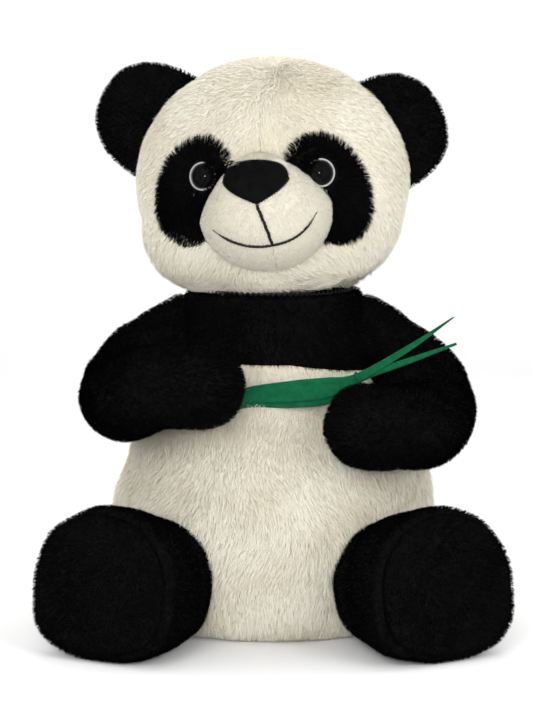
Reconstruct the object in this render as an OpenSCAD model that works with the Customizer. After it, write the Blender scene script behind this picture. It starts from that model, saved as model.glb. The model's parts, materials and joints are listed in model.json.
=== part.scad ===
// Sitting plush panda, built like the sewn toy: fabric panels over loose filling.
// Millimetres, +Z up, the face looks along -Y, the origin is the middle of the flat seat.

/* [Torso] */
// Greatest width of the torso
torso_width = 204; // [198:1:210]
// Greatest depth of the torso
torso_depth = 170; // [166:1:174]
// Thickness of the plush fabric
fabric = 2; // [1.6:0.1:2.2]

/* [Head] */
// Width of the head
head_width = 172; // [168:1:174]
// Depth of the head
head_depth = 154; // [150:1:156]
// Height of the head, as if it were a whole ball
head_height = 156; // [152:1:158]
// Height of the head's centre, about which the neck lets it turn
head_centre_z = 286; // [285:1:289]
// Turn of the head towards the toy's right
head_turn = 5.5; // [0:0.5:8]
// Roll of the head towards the toy's right
head_roll = 2; // [0:0.5:4]

/* [Face] */
// Width of the muzzle
muzzle_width = 82; // [78:1:84]
// Height of the muzzle
muzzle_height = 74; // [70:1:76]
// How far the muzzle stands out from the face
muzzle_reach = 33; // [28:1:34]
// Sideways tilt of the muzzle
muzzle_tilt = 8; // [0:1:10]
// Diameter of the black dome of an eye
eye_diameter = 15.2; // [14:0.2:16]
// Distance between the eyes
eye_spacing = 71; // [68:1:74]

/* [Ears] */
// Radius of the round outline of an ear
ear_radius = 36; // [33:1:37]
// Thickness of an ear where it meets the head
ear_root_thickness = 14; // [12:0.5:15]

/* [Arms] */
// Radius of the stuffed arm
arm_radius = 26; // [24:0.5:26.5]
// How far the elbow stands out from the shoulder
elbow_reach = 35; // [34:0.5:38]
// Height of the shoulders
shoulder_z = 184.5; // [183.5:0.5:186]

/* [Legs] */
// Radius of the leg where it meets the torso
leg_radius = 40; // [39:0.5:40.5]
// Radius of the foot at the sole
sole_radius = 47; // [45:0.5:48]
// Length of the leg from the hip's centre to the sole
leg_length = 46; // [42:1:50]
// How far each leg points outwards
leg_splay = 30; // [26:1:32]

/* [Hidden] */

// Fabric colours
white_plush = "#E9E2D2";
black_plush = "#141416";
short_pile = "#E8DFCB";
leaf_green = "#0F6B45";
fibre = "#F4F4F0";

// Clear space between a fabric panel and the filling behind it
slack = 0.4;
filling_inset = fabric + slack;

// Torso: [height, share of the greatest width, share of the greatest depth]
torso_profile = [
    [0, 0.69, 0.66], [3, 0.79, 0.76], [8, 0.86, 0.84], [16, 0.92, 0.91], [28, 0.965, 0.965],
    [42, 0.99, 0.99], [58, 1, 1], [74, 1, 1], [90, 0.985, 0.995], [105, 0.95, 0.975],
    [120, 0.89, 0.94], [133, 0.80, 0.895], [144, 0.675, 0.855], [153, 0.593, 0.82],
    [162, 0.588, 0.79], [175, 0.585, 0.76], [190, 0.58, 0.72], [202, 0.57, 0.68], [214, 0.55, 0.64]
];
neck_z = 214;
yoke_z = 175;

// Neck: a ball joint's shape, so that the stuffed head can turn and tip
neck_ball = 87.6;
neck_seam_radius = 86.2;
neck_seam_angle = 52;
neck_plug_radius = 40;
neck_plug_z = 188;

// Thread and pellet bag
thread = 0.8;
bag_radius = 50;
bag_top = 26;

// Hips
hip = [78, -78, 41.5];
leg_tilt = 8;
hip_gap = 2.4;
seam_gap = 1.2;
hip_seam_angle = 52;

// Arms: height and depth of each paw, how low the elbow hangs, and the paw's length
left_paw = [-98.5, 167, 20, 44, -1.8];
right_paw = [-92, 141, 16, 30, 4];
shoulder_x = 61.6;
shoulder_taper = 0.81;
shoulder_seam_gap = 8.3;

// Eye patch: centre on the face, half width, half height, slant
patch_centre = [41, -1.8];
patch_half = [23.2, 35.7];
patch_slant = 20;
patch_fabric = 1.4;
eye_height = 9.5;
eye_dome_rise = 5;
eye_ring_width = 1.4;
eye_ring_rise = 1.2;
eye_lift = patch_fabric + 3 * slack;
shank_radius = 2;
shank_length = 13;
washer_radius = 8;
washer_thickness = 1.5;
washer_gap = 1.7;

// Muzzle
muzzle_centre = [1.5, -15];
muzzle_fabric = 1.5;
muzzle_fullness = 2.6;
muzzle_pinch = 0.37;
muzzle_filling_lift = 1.1;
nose_centre_z = 22;
nose_half_width = 19.5;
nose_top = 11;
nose_bottom = 14;
nose_fabric = 1.2;
nose_lift = 1.1;
smile_z = -18.8;
smile_half = 32;
smile_rise = 14.5;

// Ears, left then right: where each one leaves the head, how far it leans out, and its height
ear_direction = [[76, 5, 41], [78, 5, 30]];
ear_lean = [57, 65];
ear_tip = [35, 29];
ear_swell = 4;
ear_fabric = 1.5;

// Leaf blades: [x, y, z, width] along each blade
leaf_thickness = 0.8;
upper_blade = [
    [-38, -73.4, 146, 5], [-20, -71.6, 157, 10.5], [12, -77, 161.5, 14.5],
    [34, -79.4, 164, 13], [52, -82.6, 170, 7], [84, -87, 189.5, 4.5],
    [110, -89, 208, 0.9]
];
lower_blade = [
    [-36, -71.6, 142, 5], [-20, -69.8, 153, 8], [12, -75, 154.5, 8.5],
    [34, -77.4, 157.5, 8.5], [52, -80.6, 169, 6], [84, -84.5, 181, 4],
    [112, -87, 191.5, 0.9]
];

// ---- Shapes made from rings of points ----

// Angles from one end to the other in equal steps
function steps(from, to, count) = [for (i = [0 : count]) from + (to - from) * i / count];

// Angles right round, without repeating the first
function turn(count) = [for (i = [0 : count - 1]) 360 * i / count];

function unit(v) = v / norm(v);

// Two triangles for each cell of a grid, clockwise from outside, or reversed
function grid_faces(rows, columns, first, reversed) = [
    for (r = [0 : rows - 2])
        for (c = [0 : columns - 2])
            let (a = first + r * columns + c, b = a + 1, d = a + columns, e = d + 1)
                each (reversed ? [[a, e, d], [a, b, e]] : [[a, d, e], [a, e, b]])
];

// The border of a grid, once round
function border(rows, columns) = concat(
    [for (c = [0 : columns - 1]) c],
    [for (r = [1 : rows - 1]) r * columns + columns - 1],
    [for (c = [columns - 2 : -1 : 0]) (rows - 1) * columns + c],
    [for (r = [rows - 2 : -1 : 1]) r * columns]
);

// A closed solid through closed rings, with a flat cap at each end
module loft(rings) {
    n = len(rings[0]);
    m = len(rings);
    sides = [
        for (r = [0 : m - 2])
            for (c = [0 : n - 1])
                let (a = r * n + c, b = r * n + (c + 1) % n, d = a + n, e = b + n)
                    each [[a, d, e], [a, e, b]]
    ];
    caps = [[for (c = [0 : n - 1]) c], [for (c = [n - 1 : -1 : 0]) (m - 1) * n + c]];
    polyhedron([for (ring = rings) each ring], concat(sides, caps), convexity = 6);
}

// A panel of fabric: the solid between an outer and an inner grid of points
module panel(outer, inner) {
    rows = len(outer);
    columns = len(outer[0]);
    total = rows * columns;
    edge = border(rows, columns);
    rim = [
        for (i = [0 : len(edge) - 1])
            let (a = edge[i], b = edge[(i + 1) % len(edge)])
                each [[a, b, b + total], [a, b + total, a + total]]
    ];
    polyhedron(
        concat([for (row = outer) each row], [for (row = inner) each row]),
        concat(
            grid_faces(rows, columns, 0, false),
            grid_faces(rows, columns, total, true),
            rim
        ),
        convexity = 6
    );
}

// A ring of radius r about a point, square to a direction
function ring_about(centre, direction, r, angles) =
    let (side = unit(cross([0, 0, 1], direction)), up = cross(direction, side))
        [for (a = angles) centre + r * (cos(a) * side + sin(a) * up)];

// A smooth curve through four neighbouring points, at share t between the middle two
function curve(a, b, c, d, t) =
    0.5 * (2 * b + (c - a) * t + (2 * a - 5 * b + 4 * c - d) * t * t
        + (3 * b - a - 3 * c + d) * t * t * t);

// Points along a smooth curve through a list of points
function smooth(points, per_span) =
    let (last = len(points) - 1)
        concat(
            [
                for (i = [0 : last - 1])
                    for (k = [0 : per_span - 1])
                        curve(points[max(i - 1, 0)], points[i], points[i + 1],
                            points[min(i + 2, last)], k / per_span)
            ],
            [points[last]]
        );

// ---- Torso ----

function torso_x(z) = lookup(z, [for (s = torso_profile) [s[0], s[1]]]) * torso_width / 2;
function torso_y(z) = lookup(z, [for (s = torso_profile) [s[0], s[2]]]) * torso_depth / 2;

function torso_ring(z, inset, angles) =
    [for (a = angles) [(torso_x(z) - inset) * cos(a), (torso_y(z) - inset) * sin(a), z]];

// The profile's own heights between two limits, with the limits
function heights(low, high) = concat(
    [low], [for (s = torso_profile) if (s[0] > low + 0.1 && s[0] < high - 0.1) s[0]], [high]
);

module torso_panel(low, high, angles) {
    panel(
        [for (z = heights(low, high)) torso_ring(z, 0, angles)],
        [for (z = heights(low, high)) torso_ring(z, fabric, angles)]
    );
}

module each_hip() {
    for (side = [-1, 1]) {
        translate([side * hip.x, hip.y, hip.z]) children();
    }
}

module belly_front() {
    color(white_plush)
        difference() {
            torso_panel(0, yoke_z, steps(180, 360, 14));
            each_hip() sphere(leg_radius + hip_gap, $fn = 64);
        }
}

module back_right() {
    color(white_plush) torso_panel(0, yoke_z, steps(0, 90, 7));
}

module back_left() {
    color(white_plush) torso_panel(0, yoke_z, steps(90, 180, 7));
}

module chest_front() {
    color(black_plush) torso_panel(yoke_z, neck_z, steps(180, 360, 14));
}

module chest_back() {
    color(black_plush) torso_panel(yoke_z, neck_z, steps(0, 180, 14));
}

module base_panel() {
    inset = filling_inset;
    color(white_plush)
        loft([for (z = [0, fabric]) torso_ring(0, inset, turn(28)) + [for (i = turn(28)) [0, 0, z]]]);
}

module body_filling() {
    inset = filling_inset;
    color(fibre)
        difference() {
            loft([for (z = heights(inset, neck_z - inset)) torso_ring(z, inset, turn(28))]);
            each_hip() sphere(leg_radius + hip_gap, $fn = 64);
            translate([0, 0, head_centre_z]) sphere(neck_ball, $fn = 96);
            translate([0, 0, neck_plug_z - slack]) cylinder(h = 40, r = neck_plug_radius + slack, $fn = 64);
            translate([0, 0, -1]) cylinder(h = bag_top + 1 + slack, r = bag_radius + slack, $fn = 64);
        }
}

// A cotton bag of plastic pellets that weights the seat
module pellet_bag() {
    low = filling_inset;
    edge = 6;
    color("#C9C2B0")
        rotate_extrude($fn = 64)
            hull() {
                translate([0, low]) square([1, bag_top - low]);
                for (z = [low + edge, bag_top - edge]) {
                    translate([bag_radius - edge, z]) circle(edge, $fn = 32);
                }
            }
}

// The ring of thread that closes each armhole
module shoulder_seam_right() {
    color("black")
        translate([shoulder_x + 0.1, 0, shoulder_z])
            rotate([0, 90, 0])
                rotate_extrude($fn = 64)
                    translate([arm_radius * shoulder_taper + shoulder_seam_gap, 0]) circle(thread, $fn = 16);
}

module shoulder_seam_left() {
    mirror([1, 0, 0]) shoulder_seam_right();
}

// ---- Neck ----

module neck_filling() {
    color(fibre)
        difference() {
            translate([0, 0, neck_plug_z]) cylinder(h = 20, r = neck_plug_radius, $fn = 64);
            translate([0, 0, head_centre_z]) sphere(neck_ball, $fn = 96);
        }
}

// The hand-sewn thread that joins the head to the neck
module neck_seam() {
    color(white_plush)
        translate([0, 0, head_centre_z - neck_seam_radius * sin(neck_seam_angle)])
            rotate_extrude($fn = 96)
                translate([neck_seam_radius * cos(neck_seam_angle), 0]) circle(thread, $fn = 16);
}

// ---- Head, in its own place: origin at its centre, face along -Y ----

module head_place() {
    translate([0, 0, head_centre_z]) rotate([0, -head_roll, 0]) rotate([0, 0, -head_turn]) children();
}

function head_point(latitude, longitude, inset) = [
    (head_width / 2 - inset) * cos(latitude) * cos(longitude),
    (head_depth / 2 - inset) * cos(latitude) * sin(longitude),
    (head_height / 2 - inset) * sin(latitude)
];

// Depth of the front of the head at a place on the face
function face_y(x, z) =
    -head_depth / 2 * sqrt(1 - pow(2 * x / head_width, 2) - pow(2 * z / head_height, 2));

// Latitudes of the head's rings, from the neck opening to just short of the crown
head_rows = concat(steps(-54, 74, 9), [83, 89.4]);

module head_panel(angles) {
    panel(
        [for (row = head_rows) [for (a = angles) head_point(row, a, 0)]],
        [for (row = head_rows) [for (a = angles) head_point(row, a, fabric)]]
    );
}

module face_left() {
    color(white_plush) head_place() head_panel(steps(180, 270, 6));
}

module face_right() {
    color(white_plush) head_place() head_panel(steps(270, 360, 6));
}

module head_back_right() {
    color(white_plush) head_place() head_panel(steps(0, 90, 6));
}

module head_back_left() {
    color(white_plush) head_place() head_panel(steps(90, 180, 6));
}

// Stands a shape on the face, square to it, at a height above the fabric
module on_face(x, z, height) {
    point = [x, face_y(x, z), z];
    normal = unit([
        point.x / pow(head_width, 2), point.y / pow(head_depth, 2), point.z / pow(head_height, 2)
    ]);
    translate(point) rotate([0, acos(normal.z), atan2(normal.y, normal.x)]) translate([0, 0, height])
        children();
}

module head_filling() {
    color(fibre)
        head_place()
            difference() {
                loft([for (row = concat([-82, -68], head_rows)) [for (a = turn(24)) head_point(row, a, filling_inset)]]);
                for (side = [-1, 1]) {
                    on_face(side * eye_spacing / 2, eye_height, -shank_length - 1)
                        cylinder(h = shank_length + 4, r = washer_radius + 1, $fn = 48);
                }
            }
}

// ---- Eye patches and eyes ----

// A ring of an eye patch: share of its size, height above the fabric
function patch_ring(share, height) = [
    for (a = turn(24))
        let (
            u = share * patch_half.x * cos(a),
            w = share * patch_half.y * sin(a),
            x = patch_centre.x + u * cos(patch_slant) - w * sin(patch_slant),
            z = patch_centre.y + u * sin(patch_slant) + w * cos(patch_slant)
        )
            [x, face_y(x, z) - height, z]
];

module eye_patch() {
    shares = [0.06, 0.35, 0.6, 0.8, 1];
    low = slack;
    high = slack + patch_fabric;
    loft(concat(
        [for (i = [0 : 4]) patch_ring(shares[i], low)],
        [for (i = [4 : -1 : 0]) patch_ring(shares[i], high)]
    ));
}

// Everything in front of and behind the muzzle's outline, with room round it
module muzzle_cutter() {
    rotate([90, 0, 0])
        linear_extrude(head_depth)
            polygon([
                for (a = turn(40))
                    muzzle_place(
                        muzzle_half_width(sin(a), -slack) * cos(a),
                        (muzzle_height / 2 + slack) * sin(a)
                    )
            ]);
}

module eye_patch_right() {
    color(black_plush)
        head_place()
            difference() {
                eye_patch();
                muzzle_cutter();
            }
}

module eye_patch_left() {
    color(black_plush)
        head_place()
            difference() {
                mirror([1, 0, 0]) eye_patch();
                muzzle_cutter();
            }
}

module at_eye(side, height) {
    head_place() on_face(side * eye_spacing / 2, eye_height, height) children();
}

// A moulded safety eye: a glossy dome on a shank
module eye() {
    half = eye_diameter / 2;
    ball = (half * half + eye_dome_rise * eye_dome_rise) / (2 * eye_dome_rise);
    intersection() {
        translate([0, 0, eye_dome_rise - ball]) sphere(ball, $fn = 64);
        cylinder(h = ball, r = half + 1, $fn = 64);
    }
    translate([0, 0, -shank_length]) cylinder(h = shank_length + 1, r = shank_radius, $fn = 32);
}

// The white rim that shows round the dome
module eye_ring() {
    half = eye_diameter / 2;
    difference() {
        cylinder(h = eye_ring_rise, r1 = half + eye_ring_width, r2 = half + eye_ring_width / 2, $fn = 64);
        translate([0, 0, -1]) cylinder(h = eye_ring_rise + 2, r = half + 0.1, $fn = 64);
    }
}

// The locking washer behind the fabric
module eye_washer() {
    difference() {
        cylinder(h = washer_thickness, r = washer_radius, $fn = 48);
        translate([0, 0, -1]) cylinder(h = washer_thickness + 2, r = shank_radius + 0.05, $fn = 32);
    }
}

module eye_left() {
    color("black") at_eye(-1, eye_lift) eye();
}

module eye_right() {
    color("black") at_eye(1, eye_lift) eye();
}

module eye_ring_left() {
    color("white") at_eye(-1, eye_lift) eye_ring();
}

module eye_ring_right() {
    color("white") at_eye(1, eye_lift) eye_ring();
}

module eye_washer_left() {
    color("gray") at_eye(-1, -fabric - washer_gap - washer_thickness) eye_washer();
}

module eye_washer_right() {
    color("gray") at_eye(1, -fabric - washer_gap - washer_thickness) eye_washer();
}

// ---- Muzzle: u and w are places on it, sideways and up, before its tilt ----

// Half width of the muzzle at a share of its half height: an egg, narrower at the top
function muzzle_half_width(rise, inset) =
    (muzzle_width / 2 - inset) * (1 - muzzle_pinch * max(0, rise));

// How far the muzzle's surface stands out, with the surface moved in by an inset
function muzzle_rise(u, w, inset) =
    let (rise = w / (muzzle_height / 2 - inset), share = norm([u / muzzle_half_width(rise, inset), rise]))
        (muzzle_reach - inset) * sqrt(max(0, 1 - pow(share, muzzle_fullness)));

// A place on the muzzle as it is seen from in front, after its tilt
function muzzle_place(u, w) = [
    muzzle_centre.x + u * cos(muzzle_tilt) - w * sin(muzzle_tilt),
    muzzle_centre.y + u * sin(muzzle_tilt) + w * cos(muzzle_tilt)
];

// A point on the muzzle, at a height above its surface
function muzzle_point(u, w, inset, height) =
    let (p = muzzle_place(u, w))
        [p.x, face_y(p.x, p.y) - slack - muzzle_rise(u, w, inset) - height, p.y];

function muzzle_ring(share, inset, angles) = [
    for (a = angles)
        muzzle_point(
            share * muzzle_half_width(share * sin(a), inset) * cos(a),
            share * (muzzle_height / 2 - inset) * sin(a), inset, 0
        )
];

muzzle_shares = [1, 0.985, 0.94, 0.86, 0.72, 0.5, 0.25, 0.04];

module muzzle_half(angles) {
    panel(
        [for (share = muzzle_shares) muzzle_ring(share, 0, angles)],
        [for (share = muzzle_shares) muzzle_ring(share, muzzle_fabric, angles)]
    );
}

module muzzle_right() {
    color(short_pile) head_place() muzzle_half(steps(-90, 90, 10));
}

module muzzle_left() {
    color(short_pile) head_place() muzzle_half(steps(90, 270, 10));
}

module muzzle_filling() {
    inset = muzzle_fabric + slack;
    floor_ring = [
        for (share = [0.1, 0.5, 1])
            [for (p = muzzle_ring(share, inset, turn(20))) [p.x, face_y(p.x, p.z) - muzzle_filling_lift, p.z]]
    ];
    color(fibre)
        head_place()
            loft(concat(floor_ring, [for (share = [0.97, 0.9, 0.75, 0.5, 0.25]) muzzle_ring(share, inset, turn(20))]));
}

// Outline of the nose: a wide arch above a shallow V
function nose_edge(a) = [
    nose_half_width * cos(a),
    sin(a) > 0
        ? nose_top * pow(sin(a), 0.8)
        : -nose_bottom * pow(1 - abs(cos(a)), 0.8)
];

function nose_ring(share, height) = [
    for (a = turn(24))
        let (p = nose_edge(a) * share)
            muzzle_point(p.x, nose_centre_z + p.y, 0, height)
];

module nose_patch() {
    shares = [0.08, 0.4, 0.7, 1];
    color("black")
        head_place()
            loft(concat(
                [for (i = [0 : 3]) nose_ring(shares[i], nose_lift)],
                [for (i = [3 : -1 : 0]) nose_ring(shares[i], nose_lift + nose_fabric)]
            ));
}

// A thread laid along points on the muzzle
module thread_along(points) {
    last = len(points) - 1;
    loft([
        for (i = [0 : last])
            let (
                along = unit(points[min(i + 1, last)] - points[max(i - 1, 0)]),
                out = unit(cross(along, cross([0, -1, 0], along))),
                side = cross(along, out)
            )
                [for (a = turn(8)) points[i] + thread * (cos(a) * out + sin(a) * side)]
    ]);
}

module mouth_stitching() {
    height = thread + 0.2;
    tip = nose_centre_z - nose_bottom - 2;
    color("black")
        head_place() {
            thread_along([for (w = steps(tip, smile_z, 6)) muzzle_point(0, w, 0, height)]);
            thread_along([
                for (u = steps(-smile_half, smile_half, 22))
                    muzzle_point(u, smile_z + smile_rise * pow(abs(u) / smile_half, 2.4), 0, height)
            ]);
        }
}

// ---- Ears: origin on the hinge line, +Z out of the head. Side 0 is the left and 1 the right ----

module ear_place(side) {
    way = ear_direction[side];
    lean = ear_lean[side];
    surface = way / norm([2 * way.x / head_width, 2 * way.y / head_depth, 2 * way.z / head_height]);
    out = [sin(lean), 0, cos(lean)];
    head_place()
        mirror([1 - side, 0, 0])
            translate(surface + out * (ear_root_thickness / 2 + 2 * slack))
                rotate([0, lean, 0])
                    children();
}

// A ring of an ear: share of the way from its root to its tip
function ear_ring(side, share, inset, angles) =
    let (
        root = ear_root_thickness / 2 - inset,
        tip = ear_tip[side] - inset,
        height = -root + (root + tip) * share,
        half = ear_radius - inset,
        width = half * sqrt(1 - pow((max(height, 0) + 2) / (tip + 2), 2)),
        depth = height < 0
            ? sqrt(root * root - height * height)
            : root * sqrt(1 - pow(height / tip, 2)) + ear_swell * sin(180 * height / tip)
    )
        [for (a = angles) [width * cos(a), depth * sin(a), height]];

ear_shares = [0.004, 0.04, 0.1, 0.18, 0.28, 0.4, 0.55, 0.7, 0.83, 0.93, 0.985];

module ear_panel(side, angles) {
    panel(
        [for (share = ear_shares) ear_ring(side, share, 0, angles)],
        [for (share = ear_shares) ear_ring(side, share, ear_fabric, angles)]
    );
}

module ear_filling(side) {
    loft([for (share = ear_shares) ear_ring(side, share, ear_fabric + slack, turn(16))]);
}

module ear_front_left() {
    color(black_plush) ear_place(0) ear_panel(0, steps(180, 360, 10));
}

module ear_front_right() {
    color(black_plush) ear_place(1) ear_panel(1, steps(180, 360, 10));
}

module ear_back_left() {
    color(black_plush) ear_place(0) ear_panel(0, steps(0, 180, 10));
}

module ear_back_right() {
    color(black_plush) ear_place(1) ear_panel(1, steps(0, 180, 10));
}

module ear_filling_left() {
    color(fibre) ear_place(0) ear_filling(0);
}

module ear_filling_right() {
    color(fibre) ear_place(1) ear_filling(1);
}

// ---- Arms: a tube from the shoulder round the elbow to the paw ----

function arm_centre(paw, a) = [
    shoulder_x + (elbow_reach + paw[4]) * sin(a),
    paw[0] * (1 - cos(a)) / 2,
    shoulder_z + (paw[1] - shoulder_z) * (1 - cos(a)) / 2 - paw[2] * pow(sin(a), a < 90 ? 1.6 : 2)
];

// The arm's radius at an angle round its bend: slimmer at the shoulder
function arm_girth(a) = arm_radius * (shoulder_taper + (1 - shoulder_taper) * sin(min(a, 90)));

function arm_rings(paw, inset, angles) =
    let (
        r = arm_radius - inset,
        wrist = arm_centre(paw, 180),
        knuckle = paw[3] - arm_radius,
        bend = steps(0, 180, 10)
    )
        concat(
            [
                for (a = bend)
                    ring_about(
                        arm_centre(paw, a) + [a == 0 ? (inset > fabric ? slack : 0) : 0, 0, 0],
                        unit(arm_centre(paw, min(a + 1, 180)) - arm_centre(paw, max(a - 1, 0))),
                        arm_girth(a) - inset, angles
                    )
            ],
            [
                for (b = [0, 20, 38, 54, 68, 79, 87])
                    ring_about(wrist - [knuckle + r * sin(b), 0, 0], [-1, 0, 0], r * cos(b), angles)
            ]
        );

module arm_panel(paw, angles) {
    panel(arm_rings(paw, 0, angles), arm_rings(paw, fabric, angles));
}

module arm_outer_right() {
    color(black_plush) arm_panel(right_paw, steps(-90, 90, 7));
}

module arm_inner_right() {
    color(black_plush) arm_panel(right_paw, steps(90, 270, 7));
}

module arm_outer_left() {
    color(black_plush) mirror([1, 0, 0]) arm_panel(left_paw, steps(-90, 90, 7));
}

module arm_inner_left() {
    color(black_plush) mirror([1, 0, 0]) arm_panel(left_paw, steps(90, 270, 7));
}

module arm_filling_right() {
    color(fibre) loft(arm_rings(right_paw, filling_inset, turn(14) - [for (i = turn(14)) 90]));
}

module arm_filling_left() {
    color(fibre) mirror([1, 0, 0]) loft(arm_rings(left_paw, filling_inset, turn(14) - [for (i = turn(14)) 90]));
}

// ---- Legs: origin at the hip's centre, +Z towards the sole ----

module leg_place(side) {
    mirror([side < 0 ? 1 : 0, 0, 0]) translate(hip) rotate([90 - leg_tilt, 0, leg_splay]) children();
}

// Half outline of the leg: a ball at the hip that widens to the sole
module leg_outline(inset) {
    intersection() {
        union() {
            circle(leg_radius - inset, $fn = 96);
            polygon([
                [0, 0], [leg_radius - inset, 0], [sole_radius - inset, leg_length * 0.7],
                [sole_radius - inset, leg_length], [0, leg_length]
            ]);
        }
        translate([0, -leg_radius]) square([2 * leg_radius, 2 * leg_radius + leg_length]);
    }
}

// The side panel, open at the hip where it is sewn on and at the sole
module leg_side() {
    open_z = -leg_radius * cos(hip_seam_angle);
    rotate_extrude($fn = 96)
        intersection() {
            difference() {
                leg_outline(0);
                leg_outline(fabric);
            }
            translate([0, open_z]) square([2 * leg_radius, leg_length - open_z]);
        }
}

module sole() {
    translate([0, 0, leg_length - fabric]) cylinder(h = fabric, r = sole_radius - filling_inset, $fn = 96);
}

module leg_filling() {
    rotate_extrude($fn = 96)
        intersection() {
            leg_outline(filling_inset);
            translate([0, -leg_radius]) square([2 * leg_radius, leg_radius + leg_length - filling_inset]);
        }
}

// The ring of thread round the hip
module hip_seam() {
    r = leg_radius + seam_gap;
    translate([0, 0, -r * cos(hip_seam_angle)])
        rotate_extrude($fn = 96)
            translate([r * sin(hip_seam_angle), 0]) circle(thread - 0.1, $fn = 16);
}

module leg_side_left() {
    color(black_plush) leg_place(-1) leg_side();
}

module leg_side_right() {
    color(black_plush) leg_place(1) leg_side();
}

module sole_left() {
    color(black_plush) leg_place(-1) sole();
}

module sole_right() {
    color(black_plush) leg_place(1) sole();
}

module leg_filling_left() {
    color(fibre) leg_place(-1) leg_filling();
}

module leg_filling_right() {
    color(fibre) leg_place(1) leg_filling();
}

module hip_seam_left() {
    color("black") leg_place(-1) hip_seam();
}

module hip_seam_right() {
    color("black") leg_place(1) hip_seam();
}

// ---- Leaves ----

// A flat ribbon along a smooth curve, its width upright
module blade(points) {
    spine = smooth(points, 5);
    last = len(spine) - 1;
    loft([
        for (i = [0 : last])
            let (
                here = [spine[i][0], spine[i][1], spine[i][2]],
                before = spine[max(i - 1, 0)],
                after = spine[min(i + 1, last)],
                along = unit([after[0] - before[0], after[1] - before[1], after[2] - before[2]]),
                across = unit(cross(along, [0, -1, 0])) * spine[i][3] / 2,
                out = unit(cross(along, across)) * leaf_thickness / 2
            )
                [here - across - out, here + across - out, here + across + out, here - across + out]
    ]);
}

module leaf_upper() {
    color(leaf_green) blade(upper_blade);
}

module leaf_lower() {
    color(leaf_green) blade(lower_blade);
}

// The loop of thread that bunches the blades above the paw
module leaf_tie() {
    middle = (upper_blade[4] + lower_blade[4]) / 2;
    color(leaf_green)
        translate([middle[0], middle[1], middle[2]])
            rotate([0, -22, 0])
                difference() {
                    cube([1.6, 6.4, 9.6], center = true);
                    cube([3, 4.8, 8], center = true);
                }
}

belly_front();
back_left();
back_right();
base_panel();
chest_front();
chest_back();
body_filling();
pellet_bag();
shoulder_seam_left();
shoulder_seam_right();
neck_filling();
neck_seam();
face_left();
face_right();
head_back_left();
head_back_right();
head_filling();
muzzle_left();
muzzle_right();
muzzle_filling();
nose_patch();
mouth_stitching();
eye_patch_left();
eye_patch_right();
eye_left();
eye_right();
eye_ring_left();
eye_ring_right();
eye_washer_left();
eye_washer_right();
ear_front_left();
ear_front_right();
ear_back_left();
ear_back_right();
ear_filling_left();
ear_filling_right();
arm_outer_left();
arm_outer_right();
arm_inner_left();
arm_inner_right();
arm_filling_left();
arm_filling_right();
leg_side_left();
leg_side_right();
sole_left();
sole_right();
leg_filling_left();
leg_filling_right();
hip_seam_left();
hip_seam_right();
leaf_upper();
leaf_lower();
leaf_tie();
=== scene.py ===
"""Sitting plush panda: its looks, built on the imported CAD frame.

Shapes are worked out in millimetres in the CAD frame (+Z up, the face looks along -Y) and
stored in metres. Each sewn panel is a thick fabric skin, with its pile as strands of their own.
"""

import json
import math
from collections import namedtuple

import bpy
import numpy as np
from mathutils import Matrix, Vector, kdtree


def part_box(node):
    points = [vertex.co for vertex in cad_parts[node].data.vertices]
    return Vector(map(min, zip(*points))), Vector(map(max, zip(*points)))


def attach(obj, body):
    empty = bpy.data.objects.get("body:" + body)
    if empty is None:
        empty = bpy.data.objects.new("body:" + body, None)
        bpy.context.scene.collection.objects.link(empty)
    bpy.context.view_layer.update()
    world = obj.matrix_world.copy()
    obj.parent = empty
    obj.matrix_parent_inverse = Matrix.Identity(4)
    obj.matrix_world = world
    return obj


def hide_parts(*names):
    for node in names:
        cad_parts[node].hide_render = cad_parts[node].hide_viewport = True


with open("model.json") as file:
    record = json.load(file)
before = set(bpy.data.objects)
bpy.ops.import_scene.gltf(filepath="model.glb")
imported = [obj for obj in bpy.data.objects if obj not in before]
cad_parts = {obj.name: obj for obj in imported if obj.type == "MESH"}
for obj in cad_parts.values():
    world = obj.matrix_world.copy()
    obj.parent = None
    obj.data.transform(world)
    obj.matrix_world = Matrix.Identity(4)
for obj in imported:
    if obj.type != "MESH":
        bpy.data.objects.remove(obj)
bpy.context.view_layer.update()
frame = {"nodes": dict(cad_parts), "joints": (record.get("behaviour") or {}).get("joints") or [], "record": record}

MM = 0.001
record = frame["record"]
BODY = {node: body for body, nodes in record["behaviour"]["bodies"].items() for node in nodes}
JOINT = {joint["name"]: joint for joint in frame["joints"]}
SIDES = {"left": -1, "right": 1}

# ---- Driving sizes, in mm, as in the CAD ----

TORSO_HALF = (102, 85)
# Each row is a height, and the shares of TORSO_HALF across and in depth there.
TORSO_PROFILE = [
    (0, 0.69, 0.66), (3, 0.79, 0.76), (8, 0.86, 0.84), (16, 0.92, 0.91), (28, 0.965, 0.965),
    (42, 0.99, 0.99), (58, 1, 1), (74, 1, 1), (90, 0.985, 0.995), (105, 0.95, 0.975),
    (120, 0.89, 0.94), (133, 0.80, 0.895), (144, 0.675, 0.855), (153, 0.593, 0.82),
    (162, 0.588, 0.79), (175, 0.585, 0.76), (190, 0.58, 0.72), (202, 0.57, 0.68), (214, 0.55, 0.64),
]
YOKE_Z = 175
NECK_Z = 214
HEAD_HALF = np.array([86.0, 77.0, 78.0])
HEAD_TURN = 5.5
HEAD_ROLL = 2
PATCH_CENTRE = {-1: (42.8, -3.2), 1: (39.4, -3.2)}
PATCH_HALF = (23.2, 34.6)
PATCH_SLANT = 20
EYE_PLACE = (35.5, 7.9)
EYE_RADIUS = 7.6
EYE_RISE = 5
EYE_LIFT = 2.6
MUZZLE_CENTRE = (1.5, -15)
MUZZLE_HALF = (41, 37)
MUZZLE_REACH = 33
MUZZLE_TILT = 8
MUZZLE_PINCH = 0.37
MUZZLE_FULLNESS = 2.6
SEAM_DRIFT = 5
NOSE_Z = 21.4
NOSE_HALF = 20
NOSE_TOP = 12.2
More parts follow.
